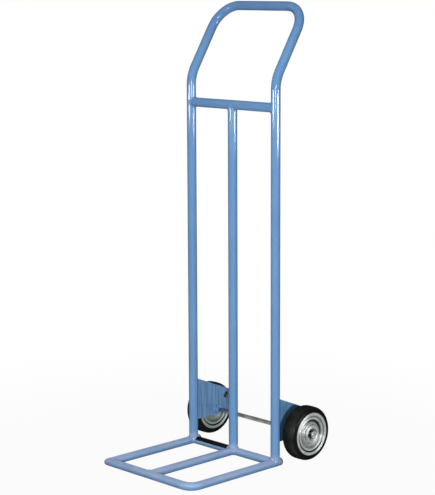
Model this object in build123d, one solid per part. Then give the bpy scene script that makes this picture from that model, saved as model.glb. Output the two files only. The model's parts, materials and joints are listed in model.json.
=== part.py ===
from build123d import *
import math
import os

# Two-wheel hand truck, in millimetres. +Z is up, the toe points to -Y and the wheels stand behind at +Y.
# The origin is on the floor, under the middle of the whole truck.

# Upright frame: one main tube bent into two uprights and a leaning handle
UPRIGHT_SPACING = 322.0
MAIN_DIA = 25.4
MAIN_WALL = 1.6
BEND_HEIGHT = 1045.0
LEAN_BEND_RADIUS = 90.0
HANDLE_LEAN = 32.0
HANDLE_RISE = 188.0
GRIP_BEND_RADIUS = 70.0
CROSSBAR_DROP = 73.0

# Toe: a flat frame of smaller tube that the load stands on
TOE_DIA = 22.2
TOE_WALL = 2.6
TOE_REACH = 313.0
TOE_TAIL = 22.0
TOE_CORNER_RADIUS = 30.0
COPE_RELIEF = 4.0

# Plugs in the open tails of the toe's side bars
PLUG_CAP = 6.0
PLUG_DOME = 4.0
PLUG_SHANK = 14.0
PLUG_LEAD = 1.0
PLUG_CLEARANCE = 0.05

# Wheel brackets: plates welded behind the uprights
BRACKET_THICKNESS = 4.5
BRACKET_FRONT_HEIGHT = 119.5
BRACKET_SLOPE = 22.5
BRACKET_BEHIND_AXLE = 58.5
BRACKET_UNDER_AXLE = 15.5
BRACKET_CORNER = 16.0
BRACKET_HOLE_DIA = 18.0
BRACKET_HOLE_BACK = 36.5
BRACKET_HOLE_RISE = 35.5
BOSS_DIA = 26.0
BOSS_LENGTH = 12.0

# Axle and its fasteners
AXLE_DIA = 12.0
AXLE_BACK = 90.5
AXLE_END = 3.5
AXLE_CHAMFER = 1.0
AXLE_CLEARANCE = 0.02
NUT_ACROSS_FLATS = 19.0
NUT_HEIGHT = 10.0
NUT_CHAMFER_ANGLE = 30.0
WASHER_DIA = 20.0
WASHER_THICKNESS = 2.5
INNER_SPACER_DIA = 18.0
BEARING_SPACER_DIA = 16.0

# Wheel: a solid tyre on a drum between two pressed discs
TYRE_DIA = 148.0
TYRE_WIDTH = 46.0
TYRE_SHOULDER_RISE = 9.0
TYRE_SHOULDER_WIDTH = 13.0
TYRE_TO_BRACKET = 3.0
WHEEL_FLOOR_GAP = 9.0
RIM_INSET = 0.5
RIM_EDGE_GAP = 0.3
SHEET = 2.0
PRESS_RADIUS = 0.9
DRUM_WALL = 2.5
HUB_WALL = 4.0
SEAT_CLEARANCE = 0.02

# Rings pressed into each disc, from the hub outwards: how wide each is and how deep behind the rim
DISC_LIP = 1.0
HUB_LIP_WIDTH = 3.5
HUB_PROUD = 2.2
HUB_CONE_WIDTH = 9.5
HUB_CONE_DEPTH = 1.0
RECESS_WIDTH = 7.0
RECESS_DEPTH = 6.5
WEB_RING_WIDTH = 5.0
WEB_RING_DEPTH = 1.2
GROOVE_WIDTH = 1.0
GROOVE_DEPTH = 3.2
FLANGE_WIDTH = 7.5
STEP_RUN = 2.0

# Ball bearings
BEARING_DIA = 32.0
BEARING_WIDTH = 10.0
BEARING_RECESS = 5.0
INNER_RACE_WALL = 3.15
OUTER_RACE_WALL = 3.0
BALL_DIA = 5.95
BALL_COUNT = 7
BALL_CLEARANCE = 0.05
CAGE_WALL = 1.4
CAGE_BACK = 0.6
CAGE_HORN = 1.2
SEAL_THICKNESS = 0.8
SEAL_INSET = 0.3
SEAL_LIP_GAP = 0.15

# Places that follow from these sizes
UPRIGHT_X = UPRIGHT_SPACING / 2
MAIN_RADIUS = MAIN_DIA / 2
TOE_RADIUS = TOE_DIA / 2
TYRE_RADIUS = TYRE_DIA / 2
AXLE_RADIUS = AXLE_DIA / 2
AXLE_HOLE = AXLE_DIA + 2 * AXLE_CLEARANCE
HANDLE_BACK = HANDLE_RISE * math.tan(math.radians(HANDLE_LEAN))
FRONT_OF_UPRIGHTS = TOE_REACH + TOE_RADIUS
BACK_OF_UPRIGHTS = max(AXLE_BACK + TYRE_RADIUS, HANDLE_BACK + MAIN_RADIUS)
UPRIGHT_Y = (FRONT_OF_UPRIGHTS - BACK_OF_UPRIGHTS) / 2
FRONT_Y = UPRIGHT_Y - TOE_REACH
TAIL_Y = UPRIGHT_Y + TOE_TAIL - PLUG_CAP
FOOT_Z = TOE_RADIUS + COPE_RELIEF
CROSSBAR_Z = BEND_HEIGHT - CROSSBAR_DROP
GRIP_Y = UPRIGHT_Y + HANDLE_BACK
GRIP_Z = BEND_HEIGHT + HANDLE_RISE
AXLE_Y = UPRIGHT_Y + AXLE_BACK
AXLE_Z = TYRE_RADIUS + WHEEL_FLOOR_GAP

# Distances along the axle from the wheel's middle plane, outwards
BRACKET_FACE_X = UPRIGHT_X + BRACKET_THICKNESS / 2
WHEEL_X = BRACKET_FACE_X + TYRE_TO_BRACKET + TYRE_WIDTH / 2
RIM_PLANE = TYRE_WIDTH / 2 - RIM_INSET
HUB_END = RIM_PLANE + HUB_PROUD - SHEET
BEARING_FACE = HUB_END - BEARING_RECESS
BEARING_MIDDLE = BEARING_FACE - BEARING_WIDTH / 2
NUT_SEAT = BEARING_FACE + WASHER_THICKNESS
AXLE_HALF = WHEEL_X + NUT_SEAT + NUT_HEIGHT + AXLE_END

# Radii in the wheel, from the bearing outwards
BEARING_RADIUS = BEARING_DIA / 2
DISC_BORE = BEARING_RADIUS + DISC_LIP
HUB_LIP_OUT = DISC_BORE + HUB_LIP_WIDTH
HUB_CONE_OUT = HUB_LIP_OUT + HUB_CONE_WIDTH
RECESS_IN = HUB_CONE_OUT + STEP_RUN
RECESS_OUT = RECESS_IN + RECESS_WIDTH
WEB_RING_IN = RECESS_OUT + STEP_RUN
WEB_RING_OUT = WEB_RING_IN + WEB_RING_WIDTH
GROOVE_IN = WEB_RING_OUT + STEP_RUN
GROOVE_OUT = GROOVE_IN + GROOVE_WIDTH
FLANGE_IN = GROOVE_OUT + STEP_RUN
FLANGE_OUT = FLANGE_IN + FLANGE_WIDTH
INNER_RACE_RADIUS = AXLE_RADIUS + INNER_RACE_WALL
OUTER_RACE_BORE = BEARING_RADIUS - OUTER_RACE_WALL
BALL_PITCH = (AXLE_RADIUS + BEARING_RADIUS) / 2
BALL_RADIUS = BALL_DIA / 2
GROOVE_BALL = BALL_RADIUS + BALL_CLEARANCE

SIDES = {"left": -1, "right": 1}

# Plane of the mitre where the front bar meets the left side bar, and the reach of the saw about it
FRONT_MITRE = Plane(origin=(-UPRIGHT_X, FRONT_Y, TOE_RADIUS), z_dir=(1, -1, 0))
MITRE_CUT = 3 * TOE_DIA


# Tubes

def rod(start, end, dia):
    """Solid round bar between two points."""
    span = Vector(end) - Vector(start)
    return extrude(Plane(origin=start, z_dir=span) * Circle(dia / 2), amount=span.length)


def straight_tube(start, end, dia, wall):
    """Round tube between two points."""
    return rod(start, end, dia) - rod(start, end, dia - 2 * wall)


def bent_tube(corners, radii, dia, wall):
    """Round tube along straight runs joined by bends."""
    path = FilletPolyline(*corners, radius=radii)
    mouth = Plane(origin=path @ 0, z_dir=path % 0)
    bore = sweep(mouth * Circle(dia / 2 - wall), path=path)
    return sweep(mouth * Circle(dia / 2), path=path) - bore


def upright_rod(x):
    """The straight part of an upright as a solid bar, to cope the tubes that meet it."""
    return rod((x, UPRIGHT_Y, FOOT_Z), (x, UPRIGHT_Y, CROSSBAR_Z + MAIN_DIA), MAIN_DIA)


def side_bar_rod(x):
    """A toe side bar as a solid bar, to cope the tubes that stand on it or butt against it."""
    return rod((x, TAIL_Y, TOE_RADIUS), (x, FRONT_Y, TOE_RADIUS), TOE_DIA)


def cross_rod(y, z, dia):
    """A level bar across the truck as a solid, to cope the tubes that meet it."""
    return rod((-UPRIGHT_X, y, z), (UPRIGHT_X, y, z), dia)


def both_sides(make):
    """The left and right copies of a solid, taken together."""
    return make(-UPRIGHT_X) + make(UPRIGHT_X)


def main_loop():
    """Uprights and handle in one tube, coped over the toe's side bars."""
    corners = [
        (-UPRIGHT_X, UPRIGHT_Y, FOOT_Z),
        (-UPRIGHT_X, UPRIGHT_Y, BEND_HEIGHT),
        (-UPRIGHT_X, GRIP_Y, GRIP_Z),
        (UPRIGHT_X, GRIP_Y, GRIP_Z),
        (UPRIGHT_X, UPRIGHT_Y, BEND_HEIGHT),
        (UPRIGHT_X, UPRIGHT_Y, FOOT_Z),
    ]
    radii = [LEAN_BEND_RADIUS, GRIP_BEND_RADIUS, GRIP_BEND_RADIUS, LEAN_BEND_RADIUS]
    return bent_tube(corners, radii, MAIN_DIA, MAIN_WALL) - both_sides(side_bar_rod)


def crossbar():
    """Level tube between the uprights, below the handle."""
    left = (COPE_RELIEF - UPRIGHT_X, UPRIGHT_Y, CROSSBAR_Z)
    right = (UPRIGHT_X - COPE_RELIEF, UPRIGHT_Y, CROSSBAR_Z)
    return straight_tube(left, right, MAIN_DIA, MAIN_WALL) - both_sides(upright_rod)


def centre_upright():
    """Tube from the toe's back tube up to the crossbar."""
    foot = (0, UPRIGHT_Y, FOOT_Z)
    head = (0, UPRIGHT_Y, CROSSBAR_Z - COPE_RELIEF)
    bar = straight_tube(foot, head, MAIN_DIA, MAIN_WALL)
    bar -= cross_rod(UPRIGHT_Y, TOE_RADIUS, TOE_DIA)
    return bar - cross_rod(UPRIGHT_Y, CROSSBAR_Z, MAIN_DIA)


def toe_front_tube():
    """Right side bar and front bar in one bent tube, mitred at its left end."""
    corners = [
        (UPRIGHT_X, TAIL_Y, TOE_RADIUS),
        (UPRIGHT_X, FRONT_Y, TOE_RADIUS),
        (-UPRIGHT_X - TOE_RADIUS, FRONT_Y, TOE_RADIUS),
    ]
    offcut = extrude(FRONT_MITRE * Rectangle(MITRE_CUT, MITRE_CUT), amount=-MITRE_CUT)
    return bent_tube(corners, [TOE_CORNER_RADIUS], TOE_DIA, TOE_WALL) - offcut


def toe_left_bar():
    """Left side bar, mitred where it meets the front bar."""
    tail = (-UPRIGHT_X, TAIL_Y, TOE_RADIUS)
    front = (-UPRIGHT_X, FRONT_Y - TOE_RADIUS, TOE_RADIUS)
    return split(straight_tube(tail, front, TOE_DIA, TOE_WALL), bisect_by=FRONT_MITRE, keep=Keep.BOTTOM)


def toe_back_tube():
    """Cross tube between the side bars, under the uprights."""
    left = (COPE_RELIEF - UPRIGHT_X, UPRIGHT_Y, TOE_RADIUS)
    right = (UPRIGHT_X - COPE_RELIEF, UPRIGHT_Y, TOE_RADIUS)
    bar = straight_tube(left, right, TOE_DIA, TOE_WALL)
    return bar - both_sides(side_bar_rod) - both_sides(upright_rod)


def toe_centre_bar():
    """Middle bar of the toe, from the back tube to the front bar."""
    back = (0, UPRIGHT_Y - COPE_RELIEF, TOE_RADIUS)
    front = (0, FRONT_Y + COPE_RELIEF, TOE_RADIUS)
    bar = straight_tube(back, front, TOE_DIA, TOE_WALL)
    bar -= cross_rod(UPRIGHT_Y, TOE_RADIUS, TOE_DIA)
    bar -= cross_rod(FRONT_Y, TOE_RADIUS, TOE_DIA)
    return bar - upright_rod(0)


def end_plug():
    """Push-in plug about +Z: a round-edged cap over the tube's end at Z = 0, and a shank inside it."""
    bore = TOE_RADIUS - TOE_WALL - PLUG_CLEARANCE
    cap = extrude(Circle(TOE_RADIUS), amount=PLUG_CAP)
    cap = fillet(cap.edges().group_by(Axis.Z)[-1], PLUG_DOME)
    shank = extrude(Circle(bore), amount=-PLUG_SHANK)
    return cap + chamfer(shank.edges().group_by(Axis.Z)[0], PLUG_LEAD)


# Brackets and axle

def along_axle(start, end, dia, bore=0.0):
    """Round piece about the axle between two distances from the truck's middle."""
    piece = rod((start, AXLE_Y, AXLE_Z), (end, AXLE_Y, AXLE_Z), dia)
    if bore:
        piece -= rod((start, AXLE_Y, AXLE_Z), (end, AXLE_Y, AXLE_Z), bore)
    return piece


def bracket(side):
    """Plate behind an upright: level below, sloping down to the rear above, with two holes."""
    back = AXLE_BACK + BRACKET_BEHIND_AXLE
    low = AXLE_Z - BRACKET_UNDER_AXLE
    slope = math.tan(math.radians(BRACKET_SLOPE))
    front_top = low + BRACKET_FRONT_HEIGHT + MAIN_RADIUS * slope
    rear_top = front_top - back * slope
    outline = make_face(Polyline((0, low), (back, low), (back, rear_top), (0, front_top), close=True))
    outline = fillet(outline.vertices().group_by(Axis.X)[-1], BRACKET_CORNER)
    outline -= Pos(AXLE_BACK, AXLE_Z) * Circle(AXLE_HOLE / 2)
    outline -= Pos(AXLE_BACK + BRACKET_HOLE_BACK, AXLE_Z + BRACKET_HOLE_RISE) * Circle(BRACKET_HOLE_DIA / 2)
    inner_face = Plane.YZ.offset(side * UPRIGHT_X - BRACKET_THICKNESS / 2)
    plate = extrude(inner_face * Pos(UPRIGHT_Y, 0) * outline, amount=BRACKET_THICKNESS)
    return plate - upright_rod(side * UPRIGHT_X)


def axle_boss(side):
    """Collar on the bracket's inner face, round the axle."""
    face = UPRIGHT_X - BRACKET_THICKNESS / 2
    return along_axle(side * (face - BOSS_LENGTH), side * face, BOSS_DIA, AXLE_HOLE)


def axle():
    """Rod through both brackets, carrying both wheels."""
    bar = along_axle(-AXLE_HALF, AXLE_HALF, AXLE_DIA)
    ends = bar.edges().filter_by(GeomType.CIRCLE)
    return chamfer(ends, AXLE_CHAMFER)


# Wheel pieces, made about the X axis with the wheel's middle plane at X = 0 and its outer side at +X

def ring_section(x_low, x_high, r_low, r_high):
    """Rectangle in the plane of the axle: a range along it and a range of radius."""
    return Pos((x_low + x_high) / 2, (r_low + r_high) / 2) * Rectangle(x_high - x_low, r_high - r_low)


def turned(section):
    """Solid of revolution about the axle."""
    return revolve(section, Axis.X)


def disc_section():
    """Pressed disc of the outer side: rings of different depth, one sheet thick."""
    rings = [
        (DISC_BORE, -HUB_PROUD),
        (HUB_LIP_OUT, -HUB_PROUD),
        (HUB_CONE_OUT, HUB_CONE_DEPTH),
        (RECESS_IN, RECESS_DEPTH),
        (RECESS_OUT, RECESS_DEPTH),
        (WEB_RING_IN, WEB_RING_DEPTH),
        (WEB_RING_OUT, WEB_RING_DEPTH),
        (GROOVE_IN, GROOVE_DEPTH),
        (GROOVE_OUT, GROOVE_DEPTH),
        (FLANGE_IN, 0.0),
        (FLANGE_OUT, 0.0),
    ]
    face = [(RIM_PLANE - depth, radius) for radius, depth in rings]
    back = [(x - SHEET, radius) for x, radius in reversed(face)]
    section = make_face(Polyline(*face, *back, close=True))
    bends = [v for v in section.vertices() if DISC_BORE < v.Y < FLANGE_OUT]
    return fillet(bends, PRESS_RADIUS)


def drum_section():
    """Band between the backs of the two discs' grooves, under the tyre."""
    end = RIM_PLANE - GROOVE_DEPTH - SHEET
    return ring_section(-end, end, GROOVE_OUT - DRUM_WALL, GROOVE_OUT)


def tyre_section():
    """Solid tyre: round shoulders, and a pocket each side for the disc's flange."""
    side = TYRE_WIDTH / 2
    shoulder_x = side - TYRE_SHOULDER_WIDTH
    shoulder_r = TYRE_RADIUS - TYRE_SHOULDER_RISE
    arc_radius = (TYRE_SHOULDER_WIDTH**2 + TYRE_SHOULDER_RISE**2) / (2 * TYRE_SHOULDER_RISE)
    groove_back = RIM_PLANE - GROOVE_DEPTH - SHEET
    pocket = RIM_PLANE - SHEET
    edge = FLANGE_OUT + RIM_EDGE_GAP
    seat = Polyline((0, GROOVE_OUT), (groove_back, GROOVE_OUT), (pocket, FLANGE_IN), (pocket, edge))
    wall = Polyline((pocket, edge), (side, edge), (side, shoulder_r))
    shoulder = RadiusArc((side, shoulder_r), (shoulder_x, TYRE_RADIUS), -arc_radius)
    tread = Polyline((shoulder_x, TYRE_RADIUS), (0, TYRE_RADIUS), (0, GROOVE_OUT))
    half = make_face(seat + wall + shoulder + tread) - disc_section()
    return half + mirror(half, about=Plane.YZ)


def hub_sleeve_section():
    """Sleeve between the two discs' hub lips, holding both bearings."""
    bore = BEARING_RADIUS + SEAT_CLEARANCE
    return ring_section(-HUB_END, HUB_END, bore, bore + HUB_WALL)


def bearing_spacer_section():
    """Tube on the axle that keeps the two inner races apart."""
    end = BEARING_FACE - BEARING_WIDTH
    return ring_section(-end, end, AXLE_HOLE / 2, BEARING_SPACER_DIA / 2)


def washer_section():
    """Washer between the outer bearing and the nut."""
    return ring_section(BEARING_FACE, NUT_SEAT, AXLE_HOLE / 2, WASHER_DIA / 2)


def inner_spacer_section():
    """Collar between the bracket and the inner bearing."""
    return ring_section(BRACKET_FACE_X - WHEEL_X, -BEARING_FACE, AXLE_HOLE / 2, INNER_SPACER_DIA / 2)


def nut():
    """Hexagon nut with its corners turned off on both faces."""
    corner = NUT_ACROSS_FLATS / math.sqrt(3)
    fall = (corner - NUT_ACROSS_FLATS / 2) * math.tan(math.radians(NUT_CHAMFER_ANGLE))
    end = NUT_SEAT + NUT_HEIGHT
    hexagon = Plane.YZ.offset(NUT_SEAT) * RegularPolygon(corner, 6)
    profile = [
        (NUT_SEAT, AXLE_HOLE / 2),
        (NUT_SEAT, NUT_ACROSS_FLATS / 2),
        (NUT_SEAT + fall, corner),
        (end - fall, corner),
        (end, NUT_ACROSS_FLATS / 2),
        (end, AXLE_HOLE / 2),
    ]
    envelope = turned(make_face(Polyline(*profile, close=True)))
    return extrude(hexagon, amount=NUT_HEIGHT) & envelope


# Bearing pieces, about the X axis with the bearing's middle at X = 0

def ball_groove(centre_radius):
    """Section of the track that the balls run in."""
    return Pos(0, centre_radius) * Circle(GROOVE_BALL)


def inner_race():
    """Inner race, on the axle."""
    half = BEARING_WIDTH / 2
    return turned(ring_section(-half, half, AXLE_HOLE / 2, INNER_RACE_RADIUS) - ball_groove(BALL_PITCH))


def outer_race():
    """Outer race, in the hub sleeve."""
    half = BEARING_WIDTH / 2
    return turned(ring_section(-half, half, OUTER_RACE_BORE, BEARING_RADIUS) - ball_groove(BALL_PITCH))


def ball_places():
    """Turned positions of the balls round the pitch circle."""
    return [Rot(X=360 / BALL_COUNT * i) * Pos(0, BALL_PITCH) for i in range(BALL_COUNT)]


def balls():
    """The ring of balls."""
    return Part() + [place * Sphere(BALL_RADIUS) for place in ball_places()]


def cage():
    """Crown cage: a thin ring behind the balls with horns between them."""
    back = -(GROOVE_BALL + CAGE_BACK)
    ring = turned(ring_section(back, CAGE_HORN, BALL_PITCH - CAGE_WALL / 2, BALL_PITCH + CAGE_WALL / 2))
    pocket = Rot(X=90) * Cylinder(GROOVE_BALL, BALL_DIA)
    return ring - [place * pocket for place in ball_places()]


def seals():
    """Two seal rings, one near each face, held in the outer race."""
    outside = BEARING_WIDTH / 2 - SEAL_INSET
    lip = INNER_RACE_RADIUS + SEAL_LIP_GAP
    rim = OUTER_RACE_BORE - SEAT_CLEARANCE
    ring = turned(ring_section(outside - SEAL_THICKNESS, outside, lip, rim))
    return Part() + [ring, mirror(ring, about=Plane.YZ)]


# Placing and saving

def at_wheel(piece, side):
    """A wheel piece moved to its wheel, mirrored for the left one."""
    if side < 0:
        piece = mirror(piece, about=Plane.YZ)
    return Pos(side * WHEEL_X, AXLE_Y, AXLE_Z) * piece


def plug_at(end, direction):
    """An end plug in the end of a tube that faces a direction."""
    return Plane(origin=end, z_dir=direction) * end_plug()


parts = {
    "main_loop_tube": main_loop(),
    "crossbar": crossbar(),
    "centre_upright": centre_upright(),
    "toe_front_tube": toe_front_tube(),
    "toe_left_bar": toe_left_bar(),
    "toe_centre_bar": toe_centre_bar(),
    "toe_back_tube": toe_back_tube(),
    "plug_left_tail": plug_at((-UPRIGHT_X, TAIL_Y, TOE_RADIUS), (0, 1, 0)),
    "plug_right_tail": plug_at((UPRIGHT_X, TAIL_Y, TOE_RADIUS), (0, 1, 0)),
    "axle": axle(),
}

wheel_pieces = {
    "tyre": turned(tyre_section()),
    "outer_disc": turned(disc_section()),
    "inner_disc": mirror(turned(disc_section()), about=Plane.YZ),
    "rim_drum": turned(drum_section()),
    "hub_sleeve": turned(hub_sleeve_section()),
    "bearing_spacer": turned(bearing_spacer_section()),
    "inner_spacer": turned(inner_spacer_section()),
    "washer": turned(washer_section()),
    "axle_nut": nut(),
}

bearing_pieces = {
    "inner_race": inner_race(),
    "outer_race": outer_race(),
    "balls": balls(),
    "cage": cage(),
    "seals": seals(),
}

for row, place in {"outer": BEARING_MIDDLE, "inner": -BEARING_MIDDLE}.items():
    for name, piece in bearing_pieces.items():
        wheel_pieces[f"{row}_bearing_{name}"] = Pos(place, 0, 0) * piece

for hand, side in SIDES.items():
    parts[f"{hand}_bracket"] = bracket(side)
    parts[f"{hand}_axle_boss"] = axle_boss(side)
    for name, piece in wheel_pieces.items():
        parts[f"{hand}_{name}"] = at_wheel(piece, side)

os.makedirs("parts", exist_ok=True)
for node, piece in parts.items():
    export_step(piece, f"parts/{node}.step")
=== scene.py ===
import json
import math

import bpy
from mathutils import Matrix, Vector


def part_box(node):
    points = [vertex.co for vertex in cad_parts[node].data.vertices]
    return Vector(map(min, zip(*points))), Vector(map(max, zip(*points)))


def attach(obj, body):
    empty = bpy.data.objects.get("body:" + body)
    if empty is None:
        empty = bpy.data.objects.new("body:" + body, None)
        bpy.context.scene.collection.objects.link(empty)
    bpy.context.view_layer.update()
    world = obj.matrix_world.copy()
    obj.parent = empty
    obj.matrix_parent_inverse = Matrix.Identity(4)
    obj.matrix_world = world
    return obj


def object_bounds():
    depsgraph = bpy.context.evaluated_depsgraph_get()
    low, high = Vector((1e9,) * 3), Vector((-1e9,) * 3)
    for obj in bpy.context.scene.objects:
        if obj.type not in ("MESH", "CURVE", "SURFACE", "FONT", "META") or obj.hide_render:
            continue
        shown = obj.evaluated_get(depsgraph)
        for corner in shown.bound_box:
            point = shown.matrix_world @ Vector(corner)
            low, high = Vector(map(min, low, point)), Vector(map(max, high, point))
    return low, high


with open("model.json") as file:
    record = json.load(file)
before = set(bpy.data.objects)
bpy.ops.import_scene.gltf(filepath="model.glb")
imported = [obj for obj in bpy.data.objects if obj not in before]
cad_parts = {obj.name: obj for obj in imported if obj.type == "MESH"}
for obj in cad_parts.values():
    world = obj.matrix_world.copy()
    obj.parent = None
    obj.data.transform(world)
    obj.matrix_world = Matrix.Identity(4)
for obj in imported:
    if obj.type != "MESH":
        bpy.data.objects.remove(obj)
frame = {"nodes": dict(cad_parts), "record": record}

# Two-wheel hand truck, in metres. The CAD tubes, plates and wheels stay as they are and get their
# finishes here; the welds, the film band and the tyres' mould lines are modelled here.

CAD_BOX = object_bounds()
NODES = frame["nodes"]

# Places and sizes read from the frame
CROSSBAR_LOW, CROSSBAR_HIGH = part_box("crossbar")
MAIN_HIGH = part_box("main_loop_tube")[1]
TOE_LOW, TOE_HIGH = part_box("toe_back_tube")
FRONT_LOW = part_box("toe_front_tube")[0]
BRACKET_LOW, BRACKET_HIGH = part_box("right_bracket")
BOSS_LOW, BOSS_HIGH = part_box("right_axle_boss")
AXLE_LOW, AXLE_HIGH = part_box("axle")
TYRE_LOW, TYRE_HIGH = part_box("right_tyre")

MAIN_RADIUS = (CROSSBAR_HIGH.z - CROSSBAR_LOW.z) / 2
TOE_RADIUS = (TOE_HIGH.z - TOE_LOW.z) / 2
UPRIGHT_X = MAIN_HIGH.x - MAIN_RADIUS
UPRIGHT_Y = (CROSSBAR_LOW.y + CROSSBAR_HIGH.y) / 2
CROSSBAR_Z = (CROSSBAR_LOW.z + CROSSBAR_HIGH.z) / 2
TOE_Z = (TOE_LOW.z + TOE_HIGH.z) / 2
FRONT_Y = FRONT_LOW.y + TOE_RADIUS
AXLE_Y = (AXLE_LOW.y + AXLE_HIGH.y) / 2
AXLE_Z = (AXLE_LOW.z + AXLE_HIGH.z) / 2
AXLE_PLACE = (0.0, AXLE_Y, AXLE_Z)
TYRE_RADIUS = (TYRE_HIGH.z - TYRE_LOW.z) / 2
WHEEL_X = (TYRE_LOW.x + TYRE_HIGH.x) / 2
BOSS_RADIUS = (BOSS_HIGH.z - BOSS_LOW.z) / 2

X_AXIS = Vector((1, 0, 0))
Y_AXIS = Vector((0, 1, 0))
Z_AXIS = Vector((0, 0, 1))
WHITE = (1.0, 1.0, 1.0, 1.0)


# Camera, at the photograph's viewing angle

IMAGE_HEIGHT = 495
FOCAL_PIXELS = 1615.42
CAMERA_AZIMUTH = math.radians(45.964)
CAMERA_ELEVATION = math.radians(9.478)
CAMERA_ROLL = math.radians(-0.249)
CAMERA_PLACE = Vector((3.09052, -2.96661, 1.30823))
CAMERA_REACH = 100.0
FILM_HEIGHT = 36.0


def way_out(azimuth, elevation):
    """Direction away from the truck: azimuth runs from its front to its right, elevation upwards."""
    flat = Vector((math.sin(azimuth), -math.cos(azimuth), 0))
    return flat * math.cos(elevation) + Z_AXIS * math.sin(elevation)


def place_camera():
    """Camera that looks at the truck as the photograph does."""
    back = way_out(CAMERA_AZIMUTH, CAMERA_ELEVATION)
    right = Vector((math.cos(CAMERA_AZIMUTH), math.sin(CAMERA_AZIMUTH), 0))
    up = back.cross(right)
    rolled_right = right * math.cos(CAMERA_ROLL) + up * math.sin(CAMERA_ROLL)
    rolled_up = up * math.cos(CAMERA_ROLL) - right * math.sin(CAMERA_ROLL)
    turn = Matrix((rolled_right, rolled_up, back)).transposed()
    bpy.ops.object.camera_add()
    camera = bpy.context.object
    camera.name = "photo_camera"
    camera.matrix_world = Matrix.Translation(CAMERA_PLACE) @ turn.to_4x4()
    camera.data.sensor_fit = "VERTICAL"
    camera.data.sensor_height = FILM_HEIGHT
    camera.data.lens = FOCAL_PIXELS / IMAGE_HEIGHT * FILM_HEIGHT
    camera.data.clip_end = CAMERA_REACH
    bpy.context.scene.camera = camera


place_camera()


# Small helpers for shader nodes

class Tree:
    """A node tree that is filled one node at a time."""

    def __init__(self, tree):
        self.tree = tree

    def add(self, kind, settings=None, **inputs):
        """A node with its settings, and its inputs given as values or as sockets to link."""
        node = self.tree.nodes.new(kind)
        for key, value in (settings or {}).items():
            setattr(node, key, value)
        self.give(node, **inputs)
        return node

    def give(self, node, **inputs):
        """Sets a node's inputs to values, or links them to sockets."""
        for key, value in inputs.items():
            socket = self.socket(node, key)
            if isinstance(value, bpy.types.NodeSocket):
                self.tree.links.new(value, socket)
            else:
                socket.default_value = value

    def socket(self, node, key):
        """An input by its name in lower case with _ for a space, or by its number as i0, i1 and so on."""
        if key[0] == "i" and key[1:].isdigit():
            return node.inputs[int(key[1:])]
        wanted = key.replace("_", " ")
        return next(s for s in node.inputs if s.name.lower() == wanted)

    def maths(self, operation, first, second=0.0, clamp=False):
        """The result of one sum on values."""
        settings = {"operation": operation, "use_clamp": clamp}
        return self.add("ShaderNodeMath", settings, i0=first, i1=second).outputs[0]

    def measured(self, operation, vector, other=(0.0, 0.0, 0.0)):
        """One number from vectors, such as a length or a dot product."""
        settings = {"operation": operation}
        return self.add("ShaderNodeVectorMath", settings, i0=vector, i1=other).outputs["Value"]

    def between(self, value, low, high, out_low=0.0, out_high=1.0):
        """A value moved smoothly from one range to another."""
        settings = {"interpolation_type": "SMOOTHSTEP"}
        ranges = {"from_min": low, "from_max": high, "to_min": out_low, "to_max": out_high}
        return self.add("ShaderNodeMapRange", settings, value=value, **ranges).outputs[0]

    def fading(self, value, start, end, full=1.0):
        """The full amount while a value is below start, and smoothly down to nothing at end."""
        return self.between(value, start, end, full, 0.0)

    def ranged(self, share, low, high):
        """A share from 0 to 1 turned smoothly into an amount from low to high."""
        return self.between(share, 0.0, 1.0, low, high)

    def mixed(self, factor, first, second):
        """Two colours mixed by a factor."""
        colours = [c if isinstance(c, bpy.types.NodeSocket) else (*c, 1.0) for c in (first, second)]
        settings = {"data_type": "RGBA"}
        return self.add("ShaderNodeMix", settings, i0=factor, i6=colours[0], i7=colours[1]).outputs[2]

    def noise(self, vector, scale, detail=3.0, roughness=0.5):
        """Plain noise from 0 to 1."""
        inputs = {"vector": vector, "scale": scale, "detail": detail, "roughness": roughness}
        return self.add("ShaderNodeTexNoise", **inputs).outputs[0]

    def stretched(self, vector, scale):
        """Coordinates scaled differently along each axis."""
        return self.add("ShaderNodeMapping", vector=vector, scale=scale).outputs[0]

    def moved(self, vector, place):
        """Coordinates with a new origin."""
        shift = tuple(-along for along in place)
        return self.add("ShaderNodeMapping", vector=vector, location=shift).outputs[0]

    def parts(self, vector):
        """The x, y and z of a vector."""
        return self.add("ShaderNodeSeparateXYZ", vector=vector).outputs

    def radius(self, centred):
        """Distance from the axle, for coordinates that start on it."""
        squares = [self.maths("MULTIPLY", along, along) for along in self.parts(centred)[1:]]
        return self.maths("SQRT", self.maths("ADD", *squares))


def new_group(name, inputs, outputs):
    """An empty shader node group with a Vector input, value inputs and value outputs."""
    group = bpy.data.node_groups.new(name, "ShaderNodeTree")
    group.interface.new_socket("Vector", in_out="INPUT", socket_type="NodeSocketVector")
    for label, value in inputs.items():
        socket = group.interface.new_socket(label, in_out="INPUT", socket_type="NodeSocketFloat")
        socket.default_value = value
    for label in outputs:
        group.interface.new_socket(label, in_out="OUTPUT", socket_type="NodeSocketFloat")
    tree = Tree(group)
    start = tree.add("NodeGroupInput")
    end = tree.add("NodeGroupOutput")
    return group, tree, start.outputs, end


# Effects that finishes share. An edge is the part of a noise over which a mark fades in.

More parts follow.
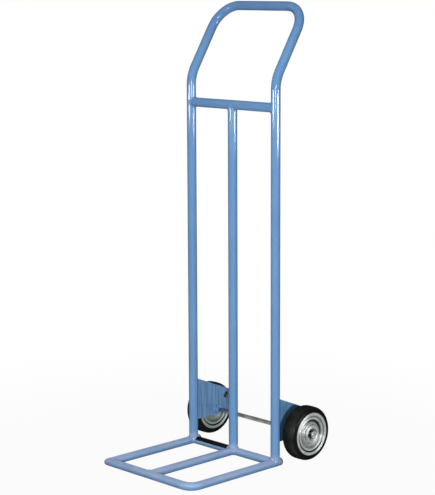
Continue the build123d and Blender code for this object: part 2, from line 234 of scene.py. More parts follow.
NOISE_MIDDLE = (0.3, 0.7)
GLOSS_FINER = 4.3
SCRATCHES = ((0.5, (1.0, 0.06, 1.0)), (-0.7, (0.05, 1.0, 1.0)))  # turn in radians, stretch
SCRATCH_EDGE = (0.66, 0.72)
SCRATCH_PATCH_SCALE, SCRATCH_PATCH_EDGE = 26.0, (0.52, 0.68)
ZONE_PATCH_SCALE, ZONE_PATCH_LEAST = 16.0, 0.65
TOE_FADE = (0.75, 1.3)  # shares of the toe's reach
TOE_UPPER_SIDE = (TOE_Z - 0.35 * TOE_RADIUS, TOE_Z + 0.45 * TOE_RADIUS)
GRIP_STARTS, GRIP_FULL = 1.06, 1.20
PLATES_START = UPRIGHT_Y + MAIN_RADIUS + 0.001
PLATES_FULL = PLATES_START + 0.004
REAR_STREAK_STRETCH, REAR_STREAK_SCALE, REAR_STREAK_EDGE = (1.0, 1.0, 0.07), 150.0, (0.35, 0.7)
TYRE_SHADE_FADE = (TYRE_RADIUS + 0.002, TYRE_RADIUS + 0.011)
SPECK_SCALE, SPECK_EDGE = 160.0, (0.42, 0.75)
SMEAR_SCALE, SMEAR_EDGE = 60.0, (0.35, 0.65)
BLOOM_SCALE, BLOOM_EDGE = 34.0, (0.35, 0.7)


def enamel_skin_group():
    """Sprayed enamel: slow changes of tone and gloss, and the fine ripple of the paint film."""
    group, tree, given, end = new_group(
        "enamel_skin", {"Cloud Scale": 9.0, "Ripple Scale": 420.0}, ["Tone", "Gloss", "Ripple"]
    )
    clouds = tree.noise(given["Vector"], given["Cloud Scale"], detail=4.0)
    gloss_scale = tree.maths("MULTIPLY", given["Cloud Scale"], GLOSS_FINER)
    gloss = tree.noise(given["Vector"], gloss_scale, detail=5.0, roughness=0.6)
    ripple = tree.noise(given["Vector"], given["Ripple Scale"], detail=2.0)
    tree.give(end, tone=tree.between(clouds, *NOISE_MIDDLE), gloss=tree.between(gloss, *NOISE_MIDDLE))
    tree.give(end, ripple=ripple)
    return group


def scuffs_group():
    """Short fine scratches in two directions, gathered in patches."""
    group, tree, given, end = new_group("scuffs", {"Fineness": 220.0, "Amount": 0.3}, ["Mask"])
    marks = []
    for turn, stretch in SCRATCHES:
        turned = tree.add("ShaderNodeMapping", vector=given["Vector"], rotation=(turn, turn, turn))
        lines = tree.noise(tree.stretched(turned.outputs[0], stretch), given["Fineness"], detail=1.0)
        marks.append(tree.between(lines, *SCRATCH_EDGE))
    patches = tree.noise(given["Vector"], SCRATCH_PATCH_SCALE, detail=2.0)
    patches = tree.between(patches, *SCRATCH_PATCH_EDGE)
    gathered = tree.maths("MULTIPLY", tree.maths("MAXIMUM", *marks), patches)
    tree.give(end, mask=tree.maths("MULTIPLY", gathered, given["Amount"], clamp=True))
    return group


def wear_and_painted_light_zones_group():
    """Where the enamel changes: paler on the toe's upper side (wear from rubbing, and a painted reflection),
    darker at grip height, and behind the uprights painted reflection streaks and shade, with a painted shade
    ring round the tyre."""
    zones = ["Rubbed", "Toe Top", "Handled", "Spray", "Tyre Marks"]
    group, tree, given, end = new_group("wear_and_painted_light_zones", {"Toe Reach": 0.03}, zones)
    x, y, z = tree.parts(given["Vector"])
    patches = tree.noise(given["Vector"], ZONE_PATCH_SCALE, detail=4.0, roughness=0.6)
    patches = tree.between(patches, *NOISE_MIDDLE, ZONE_PATCH_LEAST, 1.0)
    toe = tree.fading(tree.maths("DIVIDE", z, given["Toe Reach"]), *TOE_FADE)
    toe_top = tree.maths("MULTIPLY", toe, tree.between(z, *TOE_UPPER_SIDE))
    grip = tree.between(z, GRIP_STARTS, GRIP_FULL)
    behind = tree.between(y, PLATES_START, PLATES_FULL)
    plates = tree.maths("MULTIPLY", behind, tree.fading(z, BRACKET_HIGH.z, GRIP_STARTS))
    # Painted reflection and shade: darker vertical streaks on the pieces behind the uprights.
    rear_streaks = tree.noise(tree.stretched(given["Vector"], REAR_STREAK_STRETCH), REAR_STREAK_SCALE, detail=3.0)
    rear_streaks = tree.between(rear_streaks, *REAR_STREAK_EDGE)
    # Painted shade: a near-black ring on the plates' outer faces close round the tyre, where shade falls
    # between tyre and plate.
    near_tyre = tree.fading(tree.radius(tree.moved(given["Vector"], AXLE_PLACE)), *TYRE_SHADE_FADE)
    outer_face = tree.between(tree.maths("ABSOLUTE", x), UPRIGHT_X, BRACKET_HIGH.x)
    marks = tree.maths("MULTIPLY", tree.maths("MULTIPLY", near_tyre, outer_face), plates)
    # The toe's upper side is painted paler: partly wear from rubbing, partly a painted reflection of the
    # white surround.
    tree.give(end, rubbed=tree.maths("MULTIPLY", toe_top, patches), toe_top=toe_top)
    # Darker colour above grip height, in patches.
    tree.give(end, handled=tree.maths("MULTIPLY", grip, patches))
    tree.give(end, spray=tree.maths("MULTIPLY", plates, rear_streaks), tyre_marks=marks)
    return group


def floor_dust_group():
    """Dust that is thickest near the floor."""
    group, tree, given, end = new_group("floor_dust", {"Reach": 0.05, "Amount": 0.3}, ["Mask"])
    height = tree.parts(given["Vector"])[2]
    low = tree.maths("SUBTRACT", 1.0, tree.maths("DIVIDE", height, given["Reach"]), clamp=True)
    specks = tree.noise(given["Vector"], SPECK_SCALE, detail=6.0, roughness=0.65)
    dust = tree.maths("MULTIPLY", low, tree.between(specks, *SPECK_EDGE))
    tree.give(end, mask=tree.maths("MULTIPLY", dust, given["Amount"], clamp=True))
    return group


def turned_lines_group():
    """Fine rings about the axle, as turning or brushing leaves them, with some smears across."""
    group, tree, given, end = new_group("turned_lines", {"Ring Scale": 900.0}, ["Rings", "Smears", "Radius"])
    radius = tree.radius(given["Vector"])
    along = tree.add("ShaderNodeCombineXYZ", i0=radius, i1=tree.parts(given["Vector"])[0]).outputs[0]
    rings = tree.noise(along, given["Ring Scale"], detail=2.0)
    smears = tree.noise(given["Vector"], SMEAR_SCALE, detail=4.0, roughness=0.6)
    tree.give(end, rings=rings, smears=tree.between(smears, *SMEAR_EDGE), radius=radius)
    return group


def moulded_grain_group():
    """Moulded rubber or plastic: fine grain, and broad patches that are a little greyer."""
    group, tree, given, end = new_group("moulded_grain", {"Grain Scale": 700.0}, ["Grain", "Bloom"])
    grain = tree.noise(given["Vector"], given["Grain Scale"], detail=3.0)
    bloom = tree.noise(given["Vector"], BLOOM_SCALE, detail=5.0, roughness=0.62)
    tree.give(end, grain=grain, bloom=tree.between(bloom, *BLOOM_EDGE))
    return group


ENAMEL_SKIN = enamel_skin_group()
SCUFFS = scuffs_group()
WEAR_AND_PAINTED_LIGHT_ZONES = wear_and_painted_light_zones_group()
FLOOR_DUST = floor_dust_group()
TURNED_LINES = turned_lines_group()
MOULDED_GRAIN = moulded_grain_group()


# Finishes. Tones are the two colours that a finish varies between, rough the two ends of its roughness.

ENAMEL_TONES = (0.145, 0.315, 0.585), (0.165, 0.345, 0.625)
ENAMEL_WEAR_AND_PAINTED_LIGHT = [  # zone, amount, colour
    # paler toe top: rubbing wear and a painted reflection of the white surround
    ("Rubbed", 0.78, (0.42, 0.51, 0.71)),
    # darker colour above grip height
    ("Handled", 0.42, (0.085, 0.175, 0.400)),
    # darker vertical streaks behind the uprights: painted reflection and shade
    ("Spray", 0.75, (0.070, 0.170, 0.290)),
    # near-black ring on the plates round the tyre: painted shade
    ("Tyre Marks", 0.90, (0.010, 0.030, 0.055)),
]
ENAMEL_SCUFF = (0.16, 0.25, 0.38)
ENAMEL_ROUGH, RUBBED_ROUGHER = (0.28, 0.36), 0.08
# How far a face may turn from the viewer before its gloss fades, and the gloss at its fullest
ENAMEL_GLOSS_FADE, ENAMEL_GLOSS = (0.30, 0.62), 0.55
TOE_GLOSS_FADE, TOE_GLOSS = (0.90, 1.0), 0.30
TYRE_GLOSS_FADE, TYRE_GLOSS = (0.15, 0.65), 0.12

PLUG_TONES = (0.018, 0.018, 0.020), (0.032, 0.032, 0.034)
CAGE_TONES = (0.70, 0.66, 0.55), (0.62, 0.57, 0.45)
SEAL_TONES = (0.012, 0.012, 0.013), (0.024, 0.023, 0.022)
BAND_TONES, BAND_SCUFF = ((0.004, 0.004, 0.004), (0.012, 0.013, 0.012)), (0.05, 0.05, 0.05)
DUST_COLOUR = (0.42, 0.40, 0.36)

AXLE_TONES, AXLE_ROUGH = ((0.34, 0.34, 0.335), (0.20, 0.195, 0.185)), (0.24, 0.44)
AXLE_LINE_STRETCH, AXLE_LINE_SCALE = (6.0, 1.0, 1.0), 900.0
AXLE_DRAWN_STRETCH, AXLE_DRAWN_SCALE = (0.05, 1.0, 1.0), 700.0
AXLE_LINE_SPREAD = (0.1, 0.5)
STAIN_SCALE, STAIN_EDGE = 38.0, (0.40, 0.70)
BEARING_TONES, BEARING_ROUGH = ((0.56, 0.57, 0.58), (0.42, 0.41, 0.38)), (0.10, 0.22)

HARDWARE_TONES = (0.60, 0.62, 0.62), (0.48, 0.50, 0.50)
DISC_TONES = (0.44, 0.465, 0.46), (0.35, 0.375, 0.37)
ZINC_GRIME_AND_SHADE = (0.018, 0.020, 0.018)
INNER_SHADE_COLOUR = (0.20, 0.24, 0.22)
WHEEL_MIDDLE = (WHEEL_X - 0.004, WHEEL_X + 0.004)  # painted shade lies on the inner side of it
BRUSHING, BRUSHING_TURN = 0.8, 0.25
# Rings of grime and painted shade: radius, half width, amount, and the angle from the front where the painted
# shade is heaviest
HUB_GRIME_AND_SHADE = [(0.0115, 0.0034, 1.0, 20.0)]
DISC_GRIME_AND_SHADE = [
    (0.0130, 0.0034, 1.0, 30.0),
    (0.0262, 0.0016, 0.9, 60.0),
    (0.0365, 0.0046, 1.0, 115.0),
    (0.0488, 0.0030, 1.0, 282.0),
]
# The share of a ring's width that is full, the cosines over which its grime and painted shade fades, and its
# least share
GRIME_AND_SHADE_CORE, GRIME_AND_SHADE_LEAN, GRIME_AND_SHADE_LEAST = 0.4, (-0.6, 0.9), 0.45
# Radii within which zinc is duller, and how much rougher it is there
DULL_MIDDLE, DULL_ROUGHER = (0.028, 0.034), 0.16

TYRE_WALL_TONES, TYRE_TREAD = ((0.003, 0.004, 0.004), (0.007, 0.008, 0.008)), (0.026, 0.029, 0.023)
TYRE_ROUGH = (0.45, 0.70)
TREAD_EDGE, TREAD_LEAST = (TYRE_RADIUS - 0.006, TYRE_RADIUS - 0.0005), 0.35


class Finish(Tree):
    """A material under way: its tree, its shader and the object's own coordinates."""

    def __init__(self, name):
        self.material = bpy.data.materials.new(name)
        self.material.use_nodes = True
        super().__init__(self.material.node_tree)
        self.shader = self.tree.nodes["Principled BSDF"]
        self.place = self.add("ShaderNodeTexCoord").outputs["Object"]

    def effect(self, group, vector=None, **values):
        """A shared effect placed in this material; gives its outputs."""
        node = self.add("ShaderNodeGroup", {"node_tree": group}, vector=vector or self.place, **values)
        return node.outputs

    def facing(self):
        """0 on a face that looks at the viewer, and 1 on a face that is seen from its side."""
        return self.add("ShaderNodeLayerWeight", blend=0.5).outputs["Facing"]

    def feed(self, **inputs):
        """Values or sockets for the shader."""
        self.give(self.shader, **inputs)

    def rough(self, height, depth):
        """A bump of this depth in metres on the shader's normal."""
        bump = self.add("ShaderNodeBump", height=height, distance=depth, strength=1.0)
        self.feed(normal=bump.outputs[0])


def blue_enamel():
    """Gloss blue enamel: scuffed; paler on the toe's top from rubbing and a painted reflection; darker at
    grip height; painted reflection streaks and painted shade on the plates.
    """
    finish = Finish("blue_enamel")
    skin = finish.effect(ENAMEL_SKIN)
    scuffs = finish.effect(SCUFFS, fineness=240.0, amount=0.28)["Mask"]
    wear_and_light = finish.effect(WEAR_AND_PAINTED_LIGHT_ZONES, toe_reach=0.030)
    colour = finish.mixed(skin["Tone"], *ENAMEL_TONES)
    for zone, amount, zone_colour in ENAMEL_WEAR_AND_PAINTED_LIGHT:
        colour = finish.mixed(finish.maths("MULTIPLY", wear_and_light[zone], amount), colour, zone_colour)
    colour = finish.mixed(scuffs, colour, ENAMEL_SCUFF)
    dull = finish.maths("ADD", scuffs, finish.maths("MULTIPLY", wear_and_light["Rubbed"], RUBBED_ROUGHER))
    roughness = finish.maths("ADD", finish.ranged(skin["Gloss"], *ENAMEL_ROUGH), dull, clamp=True)
    facing = finish.facing()
    gloss = finish.fading(facing, *ENAMEL_GLOSS_FADE, ENAMEL_GLOSS)
    toe_gloss = finish.fading(facing, *TOE_GLOSS_FADE, TOE_GLOSS)
    gloss = finish.maths("MAXIMUM", gloss, finish.maths("MULTIPLY", wear_and_light["Toe Top"], toe_gloss))
    finish.feed(base_color=colour, roughness=roughness, specular_ior_level=0.0)
    finish.feed(coat_weight=gloss, coat_roughness=0.10)
    finish.rough(skin["Ripple"], depth=0.00005)
    return finish.material


def moulded(name, tones, rough, grain_scale, depth):
    """A moulded finish under way, and its colour. Tone and roughness change together in broad patches."""
    finish = Finish(name)
    grain = finish.effect(MOULDED_GRAIN, grain_scale=grain_scale)
    colour = finish.mixed(grain["Bloom"], *tones)
    finish.feed(base_color=colour, roughness=finish.ranged(grain["Bloom"], *rough))
    finish.rough(grain["Grain"], depth)
    return finish, colour


def black_plastic():
    """Matte moulded plastic of the end plugs, dusty near the floor."""
    finish, colour = moulded(
        "plug_plastic", PLUG_TONES, rough=(0.42, 0.58), grain_scale=1100.0, depth=0.00012
    )
    dust = finish.effect(FLOOR_DUST, reach=0.03, amount=0.35)["Mask"]
    finish.feed(base_color=finish.mixed(dust, colour, DUST_COLOUR))
    return finish.material


def cage_nylon():
    """Natural nylon of the ball cages."""
    finish, _ = moulded("cage_nylon", CAGE_TONES, rough=(0.40, 0.55), grain_scale=1500.0, depth=0.00004)
    finish.feed(subsurface_weight=0.1)
    return finish.material


def seal_rubber():
    """Black moulded seals of the bearings."""
    finish, _ = moulded(
        "seal_moulded_rubber", SEAL_TONES, rough=(0.45, 0.65), grain_scale=1600.0, depth=0.00005
    )
    return finish.material


def band_film():
    """Plain black film stuck on the toe's back tube."""
    finish, colour = moulded(
        "band_black_film", BAND_TONES, rough=(0.34, 0.50), grain_scale=900.0, depth=0.00003
    )
    scuffs = finish.effect(SCUFFS, fineness=320.0, amount=0.5)["Mask"]
    finish.feed(base_color=finish.mixed(scuffs, colour, BAND_SCUFF), specular_ior_level=0.05)
    return finish.material


def drawn_steel():
    """Dark drawn steel of the axle, with fine lines along it."""
    finish = Finish("axle_drawn_steel")
    lines = finish.noise(finish.stretched(finish.place, AXLE_LINE_STRETCH), AXLE_LINE_SCALE, detail=2.0)
    drawn = finish.noise(finish.stretched(finish.place, AXLE_DRAWN_STRETCH), AXLE_DRAWN_SCALE, detail=2.0)
    stains = finish.noise(finish.place, STAIN_SCALE, detail=5.0, roughness=0.6)
    colour = finish.mixed(finish.between(stains, *STAIN_EDGE), *AXLE_TONES)
    roughness = finish.between(finish.maths("MULTIPLY", drawn, lines), *AXLE_LINE_SPREAD, *AXLE_ROUGH)
    finish.feed(base_color=colour, metallic=1.0, roughness=roughness)
    finish.rough(drawn, depth=0.00003)
    return finish.material


def bearing_steel():
    """Ground bearing steel with a film of grease."""
    finish = Finish("bearing_ground_steel")
    lines = finish.effect(TURNED_LINES, finish.moved(finish.place, AXLE_PLACE), ring_scale=2200.0)
    finish.feed(base_color=finish.mixed(lines["Smears"], *BEARING_TONES), metallic=1.0)
    finish.feed(roughness=finish.ranged(lines["Smears"], *BEARING_ROUGH))
    finish.rough(lines["Rings"], depth=0.00001)
    return finish.material


def zinc(name, tones, rough, ring_scale, grimy_and_shaded_rings, shade_inside):
    """Bright zinc plate on a turned or pressed piece about the axle, with grime and painted shade in its
    rings, and painted shade on the inner side of each wheel.
    """
    finish = Finish(name)
    centred = finish.moved(finish.place, AXLE_PLACE)
    lines = finish.effect(TURNED_LINES, centred, ring_scale=ring_scale)
    x, y, z = finish.parts(centred)
    angle = finish.maths("ARCTAN2", z, finish.maths("MULTIPLY", y, -1.0))
    # Painted shade: a darker colour on the inner side of each wheel, where the plates shade it.
    inside = finish.fading(finish.maths("ABSOLUTE", x), *WHEEL_MIDDLE, shade_inside)
    plate = finish.mixed(lines["Smears"], *tones)
    plate = finish.mixed(inside, plate, INNER_SHADE_COLOUR)
    # Grime and painted shade: dark rings in the grooves and recesses, heaviest towards the angles where shade
    # falls.
    for radius, width, amount, heaviest in grimy_and_shaded_rings:
        off = finish.maths("ABSOLUTE", finish.maths("SUBTRACT", lines["Radius"], radius))
        lean = finish.maths("COSINE", finish.maths("SUBTRACT", angle, math.radians(heaviest)))
        share = finish.between(lean, *GRIME_AND_SHADE_LEAN, GRIME_AND_SHADE_LEAST * amount, amount)
        grime_and_shade = finish.maths("MULTIPLY", finish.fading(off, GRIME_AND_SHADE_CORE * width, width), share)
        plate = finish.mixed(grime_and_shade, plate, ZINC_GRIME_AND_SHADE)
    duller = finish.fading(lines["Radius"], *DULL_MIDDLE, DULL_ROUGHER)
    roughness = finish.maths("ADD", finish.ranged(lines["Smears"], *rough), duller)
    round_axle = finish.add("ShaderNodeTangent", {"direction_type": "RADIAL", "axis": "X"}).outputs[0]
    finish.feed(base_color=plate, metallic=1.0, roughness=roughness)
    finish.feed(anisotropic=BRUSHING, anisotropic_rotation=BRUSHING_TURN, tangent=round_axle)
    finish.rough(lines["Rings"], depth=0.000003)
    return finish.material


def hardware_zinc():
    """Zinc of the nuts, washers and spacers."""
    return zinc(
        "hardware_zinc", HARDWARE_TONES, rough=(0.24, 0.36), ring_scale=1600.0,
        grimy_and_shaded_rings=HUB_GRIME_AND_SHADE, shade_inside=0.3,
    )


def disc_zinc():
    """Duller zinc of the wheels' discs, drums and hub sleeves."""
    return zinc(
        "disc_zinc", DISC_TONES, rough=(0.42, 0.52), ring_scale=900.0,
        grimy_and_shaded_rings=DISC_GRIME_AND_SHADE, shade_inside=0.75,
    )


def tyre_rubber():
    """Solid black rubber: darker side walls, and a tread that rolling has made a little grey."""
    finish = Finish("tyre_solid_rubber")
    grain = finish.effect(MOULDED_GRAIN, grain_scale=620.0)
    tread = finish.between(finish.radius(finish.moved(finish.place, AXLE_PLACE)), *TREAD_EDGE)
    rolled = finish.maths("MULTIPLY", tread, finish.ranged(grain["Bloom"], TREAD_LEAST, 1.0))
    colour = finish.mixed(rolled, finish.mixed(grain["Bloom"], *TYRE_WALL_TONES), TYRE_TREAD)
    gloss = finish.fading(finish.facing(), *TYRE_GLOSS_FADE, TYRE_GLOSS)
    finish.feed(base_color=colour, roughness=finish.ranged(rolled, *TYRE_ROUGH), specular_ior_level=0.0)
    finish.feed(coat_weight=gloss, coat_roughness=0.30)
    finish.rough(grain["Grain"], depth=0.00015)
    return finish.material


FINISHES = {
    "blue_paint": blue_enamel(),
    "black_plastic": black_plastic(),
    "axle_steel": drawn_steel(),
    "zinc_hardware": hardware_zinc(),
    "zinc_disc": disc_zinc(),
    "bearing_steel": bearing_steel(),
    "cage_plastic": cage_nylon(),
    "seal_rubber": seal_rubber(),
    "black_rubber": tyre_rubber(),
}

for subpart in frame["record"]["subparts"]:
    node = NODES[subpart["node"]]
    node.data.materials.clear()
    node.data.materials.append(FINISHES[subpart["material_slot"]])


# Small helpers for modelling

MERGE_DISTANCE = 0.000001
QUARTER_TURN = math.pi / 2
FULL_TURN = 2 * math.pi


def start_clean():
    """Nothing selected, so that an operator touches only what comes next."""
    if bpy.context.object and bpy.context.object.mode != "OBJECT":
        bpy.ops.object.mode_set(mode="OBJECT")
    bpy.ops.object.select_all(action="DESELECT")


def edit_all():
    """Puts the active piece's whole mesh under edit."""
    bpy.ops.object.mode_set(mode="EDIT")
    bpy.ops.mesh.select_all(action="SELECT")


def apply_place():
    """Puts the active piece's place into its mesh."""
    bpy.ops.object.transform_apply(location=True, rotation=True, scale=True)


def apply_modifier(piece, kind, **settings):
    """Adds a modifier to a piece and applies it."""
    modifier = piece.modifiers.new(kind.lower(), kind)
    for key, value in settings.items():
        setattr(modifier, key, value)
    bpy.ops.object.modifier_apply(modifier=modifier.name)


def clean_mesh(piece, smooth_angle=40.0):
    """Puts a modelled piece's place into its mesh, joins doubled points and smooths its shading."""
    apply_place()
    edit_all()
    bpy.ops.mesh.remove_doubles(threshold=MERGE_DISTANCE)
    bpy.ops.mesh.normals_make_consistent(inside=False)
    bpy.ops.object.mode_set(mode="OBJECT")
    bpy.ops.object.shade_smooth_by_angle(angle=math.radians(smooth_angle))
    return piece


def mirrored_copy(piece, plane_x=0.0):
    """A copy with a mesh of its own, mirrored in an upright plane that runs from front to back."""
    start_clean()
    piece.select_set(True)
    bpy.context.view_layer.objects.active = piece
    bpy.ops.object.duplicate(linked=False)
    edit_all()
    bpy.ops.transform.resize(value=(-1, 1, 1), center_override=(plane_x, 0, 0))
    bpy.ops.mesh.normals_make_consistent(inside=False)
    bpy.ops.object.mode_set(mode="OBJECT")
    return bpy.context.object


def hand_over(piece, name, body, slot, finish=None):
    """Names a piece and gives it its finish and its body."""
    piece.name = name
    piece.data.name = name
    piece.data.materials.clear()
    piece.data.materials.append(finish or FINISHES[slot])
    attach(piece, body)


# Welds: rows of overlapping drops, melted into one bead

WELD_DROP = 0.0036
WELD_FLUSH = 0.5
WELD_PITCH = 0.72
WELD_VOXEL = 0.0006
WELD_FLOOR_GAP = 0.0006
WELD_SMOOTH_ANGLE = 70.0
MITRE_DROP_SIDES, MITRE_DROP_INSIDE = 0.0018, 0.0050
MITRE_GROUND_TURN = math.radians(110.0)
SEAM_DROP = 0.0022
SEAM_END = 0.004
BOSS_DROP = 0.0014


def weld_bead(path):
    """Bead of weld metal along a path of places and drop sizes, kept off the floor."""
    drops = [(place, drop) for place, drop in path if place.z - drop > WELD_FLOOR_GAP]
    start_clean()
    for place, drop in drops:
        bpy.ops.mesh.primitive_ico_sphere_add(subdivisions=2, radius=drop, location=place)
        bpy.ops.object.mode_set(mode="EDIT")
    bpy.ops.object.mode_set(mode="OBJECT")
    bead = bpy.context.object
    apply_modifier(bead, "REMESH", mode="VOXEL", voxel_size=WELD_VOXEL)
    apply_modifier(bead, "SMOOTH", factor=0.5, iterations=3)
    return clean_mesh(bead, WELD_SMOOTH_ANGLE)


def drop_count(length, drop):
    """How many drops of a size fill a path of this length."""
    return round(length / (drop * WELD_PITCH))


def saddle_path(foot, along, across, branch_radius, main_radius):
    """Path round a tube that stands on the side of another.

    foot is on the main tube's axis, along points out along the branch tube, and across runs along
    the main tube. The drops are smallest where the two tubes lie flush.
    """
    side = along.cross(across)
    steps = drop_count(FULL_TURN * branch_radius, WELD_DROP)
    path = []
    for step in range(steps):
        turn = FULL_TURN * step / steps
        lean = math.asin(min(1.0, branch_radius * abs(math.sin(turn)) / main_radius))
        round_main = side * math.copysign(math.sin(lean), math.sin(turn)) + along * math.cos(lean)
        place = foot + across * branch_radius * math.cos(turn) + round_main * main_radius
        path.append((place, WELD_DROP * (WELD_FLUSH + (1 - WELD_FLUSH) * math.cos(lean))))
    return path


def mitre_path():
    """Path round the mitre of the toe's left front corner: full in the inner corner, ground flush outside."""
    corner = Vector((-UPRIGHT_X, FRONT_Y, TOE_Z))
    outwards = Vector((-TOE_RADIUS, -TOE_RADIUS, 0))
    sweep = 2 * (math.pi - MITRE_GROUND_TURN)
    steps = drop_count(sweep * TOE_RADIUS, MITRE_DROP_SIDES)
    path = []
    for step in range(steps + 1):
        turn = MITRE_GROUND_TURN + sweep * step / steps
        inside = max(0.0, -math.cos(turn))
        drop = MITRE_DROP_SIDES + (MITRE_DROP_INSIDE - MITRE_DROP_SIDES) * inside ** 2
        path.append((corner + outwards * math.cos(turn) + Z_AXIS * TOE_RADIUS * math.sin(turn), drop))
    return path


def bracket_seam_path(face):
    """Path up the right upright, along the outer (1) or inner (-1) face of its wheel bracket."""
    half = (BRACKET_HIGH.x - BRACKET_LOW.x) / 2
    x = UPRIGHT_X + face * half
    y = UPRIGHT_Y + math.sqrt(MAIN_RADIUS ** 2 - half ** 2)
    low, high = BRACKET_LOW.z + SEAM_END, BRACKET_HIGH.z - SEAM_END
    steps = drop_count(high - low, SEAM_DROP)
    return [(Vector((x, y, low + (high - low) * step / steps)), SEAM_DROP) for step in range(steps + 1)]


def boss_path():
    """Path round the right axle boss, on its wheel bracket's inner face."""
    steps = drop_count(FULL_TURN * BOSS_RADIUS, BOSS_DROP)
    path = []
    for step in range(steps):
        turn = FULL_TURN * step / steps
        y, z = AXLE_Y + BOSS_RADIUS * math.cos(turn), AXLE_Z + BOSS_RADIUS * math.sin(turn)
        path.append((Vector((BOSS_HIGH.x, y, z)), BOSS_DROP))
    return path


def frame_welds():
    """Every welded joint of the frame. Those of the right side are copied to the left."""
    upright, foot = Vector((UPRIGHT_X, UPRIGHT_Y, CROSSBAR_Z)), Vector((UPRIGHT_X, UPRIGHT_Y, TOE_Z))
    head, middle = Vector((0, UPRIGHT_Y, CROSSBAR_Z)), Vector((0, UPRIGHT_Y, TOE_Z))
    front = Vector((0, FRONT_Y, TOE_Z))
    in_pairs = {
        "weld_crossbar": saddle_path(upright, -X_AXIS, Z_AXIS, MAIN_RADIUS, MAIN_RADIUS),
        "weld_upright_foot": saddle_path(foot, Z_AXIS, Y_AXIS, MAIN_RADIUS, TOE_RADIUS),
        "weld_back_tube": saddle_path(foot, -X_AXIS, Y_AXIS, TOE_RADIUS, TOE_RADIUS),
        "weld_bracket_inside": bracket_seam_path(-1),
        "weld_bracket_outside": bracket_seam_path(1),
        "weld_axle_boss": boss_path(),
    }
    single = {
        "weld_centre_upright_head": saddle_path(head, -Z_AXIS, X_AXIS, MAIN_RADIUS, MAIN_RADIUS),
        "weld_centre_upright_foot": saddle_path(middle, Z_AXIS, X_AXIS, MAIN_RADIUS, TOE_RADIUS),
        "weld_centre_bar_back": saddle_path(middle, -Y_AXIS, X_AXIS, TOE_RADIUS, TOE_RADIUS),
        "weld_centre_bar_front": saddle_path(front, Y_AXIS, X_AXIS, TOE_RADIUS, TOE_RADIUS),
        "weld_left_front_corner": mitre_path(),
    }
    for name, path in in_pairs.items():
        bead = weld_bead(path)
        hand_over(mirrored_copy(bead), f"{name}_left", "frame", "blue_paint")
        hand_over(bead, f"{name}_right", "frame", "blue_paint")
    for name, path in single.items():
        hand_over(weld_bead(path), name, "frame", "blue_paint")


frame_welds()


# Plain black film round the left half of the toe's back tube

BAND_MIDDLE = Vector((-0.080, UPRIGHT_Y, TOE_Z))
BAND_LENGTH = 0.124
BAND_LIFT = 0.00005
BAND_THICKNESS = 0.00025
BAND_FRONT, BAND_BACK = math.radians(72.0), math.radians(-25.0)
BAND_SEGMENTS = 128


def film_band():
    """A sheet cut from a sleeve on the tube: from behind its top, over it and down its front."""
    start_clean()
    bpy.ops.mesh.primitive_cylinder_add(
        vertices=BAND_SEGMENTS, radius=TOE_RADIUS + BAND_LIFT, depth=BAND_LENGTH, end_fill_type="NOTHING",
        location=BAND_MIDDLE, rotation=(0, QUARTER_TURN, 0),
    )
    band = bpy.context.object
    apply_place()
    bpy.ops.object.mode_set(mode="EDIT")
    for turn, hand in ((BAND_FRONT, 1), (BAND_BACK, -1)):
        bpy.ops.mesh.select_all(action="SELECT")
        away = Vector((0, -math.cos(turn), -math.sin(turn))) * hand
        bpy.ops.mesh.bisect(plane_co=BAND_MIDDLE, plane_no=away, clear_outer=True)
    bpy.ops.mesh.select_all(action="SELECT")
    bpy.ops.mesh.normals_make_consistent(inside=False)
    bpy.ops.object.mode_set(mode="OBJECT")
    apply_modifier(band, "SOLIDIFY", thickness=BAND_THICKNESS, offset=1.0)
    hand_over(clean_mesh(band), "film_band", "frame", "black_plastic", finish=band_film())


film_band()


# Lines that the mould leaves on each tyre

WALL_LINE_RADIUS = 0.0622
WALL_LINE_WIDTH = 0.0009
WALL_LINE_SINK = WALL_LINE_WIDTH / 3
WALL_LINE_FLATTENED = 0.6
TREAD_LINE_WIDTH = 0.0007
TREAD_LINE_SINK = 0.00035
TREAD_LINE_BROADENED = 1.8
LINE_SEGMENTS, LINE_SIDES = 160, 12


def mould_ring(x, radius, width):
    """A thin ring about the axle, ready to be shaped in edit mode."""
    start_clean()
    bpy.ops.mesh.primitive_torus_add(
        major_segments=LINE_SEGMENTS, minor_segments=LINE_SIDES, major_radius=radius, minor_radius=width,
        location=(x, AXLE_Y, AXLE_Z), rotation=(0, QUARTER_TURN, 0),
    )
    apply_place()
    edit_all()
    return bpy.context.object


def wall_line():
    """Rib on the right tyre's outer wall: the part of a ring that stands out of the rubber, flattened."""
    x = TYRE_HIGH.x
    ring = mould_ring(x, WALL_LINE_RADIUS, WALL_LINE_WIDTH)
    sunk = (x - WALL_LINE_SINK, AXLE_Y, AXLE_Z)
    bpy.ops.mesh.bisect(plane_co=sunk, plane_no=X_AXIS, clear_inner=True)
    bpy.ops.mesh.select_non_manifold()
    bpy.ops.mesh.bridge_edge_loops()
    bpy.ops.mesh.select_all(action="SELECT")
    bpy.ops.transform.resize(value=(WALL_LINE_FLATTENED, 1, 1), center_override=(x, AXLE_Y, AXLE_Z))
    bpy.ops.object.mode_set(mode="OBJECT")
    return clean_mesh(ring)


def tread_line():
    """Low, broad line on the right tyre, where the two halves of the mould met."""
    ring = mould_ring(WHEEL_X, TYRE_RADIUS - TREAD_LINE_SINK, TREAD_LINE_WIDTH)
    middle = (WHEEL_X, AXLE_Y, AXLE_Z)
    bpy.ops.transform.resize(value=(TREAD_LINE_BROADENED, 1, 1), center_override=middle)
    bpy.ops.object.mode_set(mode="OBJECT")
    return clean_mesh(ring)


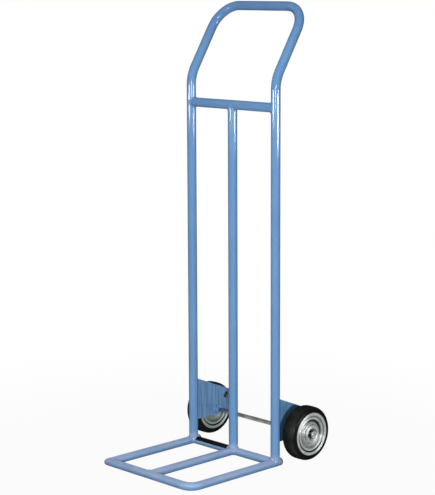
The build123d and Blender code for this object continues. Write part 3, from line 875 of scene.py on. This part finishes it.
def tyre_lines():
    """The lines of both tyres: the right outer wall line and tread line, and their mirrored copies."""
    outer, tread = wall_line(), tread_line()
    right = {
        "tyre_outer_wall_line": outer,
        "tyre_inner_wall_line": mirrored_copy(outer, WHEEL_X),
        "tyre_tread_line": tread,
    }
    for name, line in right.items():
        hand_over(mirrored_copy(line), f"{name}_left", "left_wheel", "black_rubber")
        hand_over(line, f"{name}_right", "right_wheel", "black_rubber")


tyre_lines()


# Studio: a pale floor, soft lamps and a white surround

FLOOR_SIZE = 40.0
FLOOR_DROP = 0.0005
FLOOR_GREY = (0.25, 0.25, 0.25, 1.0)
FLOOR_ROUGHNESS = 0.9
FLOOR_GLOW = (0.955, 1.0)  # near the truck and far from it
FLOOR_FADE = (0.35, 1.6)
ROOM_LEVEL = 0.05
CEILING_LEVEL = 0.30
CEILING_STARTS, CEILING_FULL = 0.40, 0.80
BACKDROP_WAY = (-math.sin(CAMERA_AZIMUTH), math.cos(CAMERA_AZIMUTH), 0)
BACKDROP_STARTS, BACKDROP_FULL = -0.10, 0.45
FRONT_LEVEL = 0.30
FLOOR_FRONT_STARTS, FLOOR_FRONT_FULL = -2.0, -0.3
LAMPS = [  # name, azimuth, elevation, distance, size, level, lights matt faces, shows in gloss
    ("key_lamp", 45.0, 7.0, 3.6, (0.7, 0.7), 0.84, True, True),
    ("top_lamp", 30.0, 80.0, 3.2, (1.6, 1.6), 0.30, True, False),
    ("back_lamp", 223.0, 12.0, 3.6, (1.0, 1.0), 0.60, True, False),
    ("left_streak_lamp", -15.0, 5.0, 2.2, (1.4, 0.14), 0.60, False, True),
    ("right_streak_lamp", 102.0, 3.8, 2.2, (1.4, 0.22), 0.95, False, True),
]


def seen_directly(tree):
    """Two shares: 1 for rays from the camera, and 1 for rays from a mirror or through glass."""
    rays = tree.add("ShaderNodeLightPath").outputs
    mirrored = tree.maths("MAXIMUM", rays["Is Glossy Ray"], rays["Is Transmission Ray"])
    return rays["Is Camera Ray"], mirrored


def pale_floor():
    """Plain floor under the truck: white to the camera, with a light shadow kept near the truck."""
    start_clean()
    bpy.ops.mesh.primitive_plane_add(size=FLOOR_SIZE, location=(0, 0, -FLOOR_DROP))
    floor = bpy.context.object
    floor.name = "pale_floor"
    finish = Finish("pale_floor")
    finish.feed(base_color=FLOOR_GREY, roughness=FLOOR_ROUGHNESS)
    glow = finish.add("ShaderNodeEmission", color=WHITE, strength=1.0)
    away = finish.measured("LENGTH", finish.place)
    behind = finish.measured("DOT_PRODUCT", finish.place, BACKDROP_WAY)
    camera, mirrored = seen_directly(finish)
    dimmer = finish.between(behind, FLOOR_FRONT_STARTS, FLOOR_FRONT_FULL, FRONT_LEVEL, 1.0)
    seen = finish.maths("MAXIMUM", camera, finish.maths("MULTIPLY", mirrored, dimmer))
    share = finish.maths("MULTIPLY", seen, finish.between(away, *FLOOR_FADE, *FLOOR_GLOW))
    mix = finish.add("ShaderNodeMixShader", i0=share, i1=finish.shader.outputs[0], i2=glow.outputs[0])
    finish.give(finish.tree.nodes["Material Output"], surface=mix.outputs[0])
    floor.data.materials.append(finish.material)


def white_surround():
    """World that lights softly: white to the camera, and in mirrors dimmer overhead and before the truck."""
    world = bpy.data.worlds.new("white_surround")
    world.use_nodes = True
    bpy.context.scene.world = world
    tree = Tree(world.node_tree)
    camera, mirrored = seen_directly(tree)
    direction = tree.add("ShaderNodeTexCoord").outputs["Generated"]
    ceiling = tree.between(tree.parts(direction)[2], CEILING_STARTS, CEILING_FULL, 1.0, CEILING_LEVEL)
    behind = tree.measured("DOT_PRODUCT", direction, BACKDROP_WAY)
    sides = tree.between(behind, BACKDROP_STARTS, BACKDROP_FULL, FRONT_LEVEL, 1.0)
    backdrop = tree.maths("MINIMUM", ceiling, sides)
    lit = tree.add("ShaderNodeMix", {"data_type": "FLOAT"}, i0=mirrored, i2=ROOM_LEVEL, i3=backdrop)
    strength = tree.maths("MAXIMUM", lit.outputs[0], camera)
    tree.give(tree.tree.nodes["Background"], color=WHITE, strength=strength)


def soft_lamp(name, azimuth, elevation, distance, size, level, diffuse, glossy):
    """Area lamp that looks at the middle of the truck and lights a surface that faces it to a level."""
    aim = (Vector(CAD_BOX[0]) + Vector(CAD_BOX[1])) / 2
    back = way_out(math.radians(azimuth), math.radians(elevation))
    bpy.ops.object.light_add(type="AREA")
    lamp = bpy.context.object
    lamp.name = name
    lamp.location = aim + back * distance
    lamp.rotation_euler = back.to_track_quat("Z", "Y").to_euler()
    lamp.data.shape = "RECTANGLE"
    lamp.data.size, lamp.data.size_y = size
    lamp.data.energy = (math.pi * distance) ** 2 * level
    lamp.visible_diffuse = diffuse
    lamp.visible_glossy = glossy


pale_floor()
white_surround()
for lamp_settings in LAMPS:
    soft_lamp(*lamp_settings)
bpy.context.scene.view_settings.view_transform = "Standard"
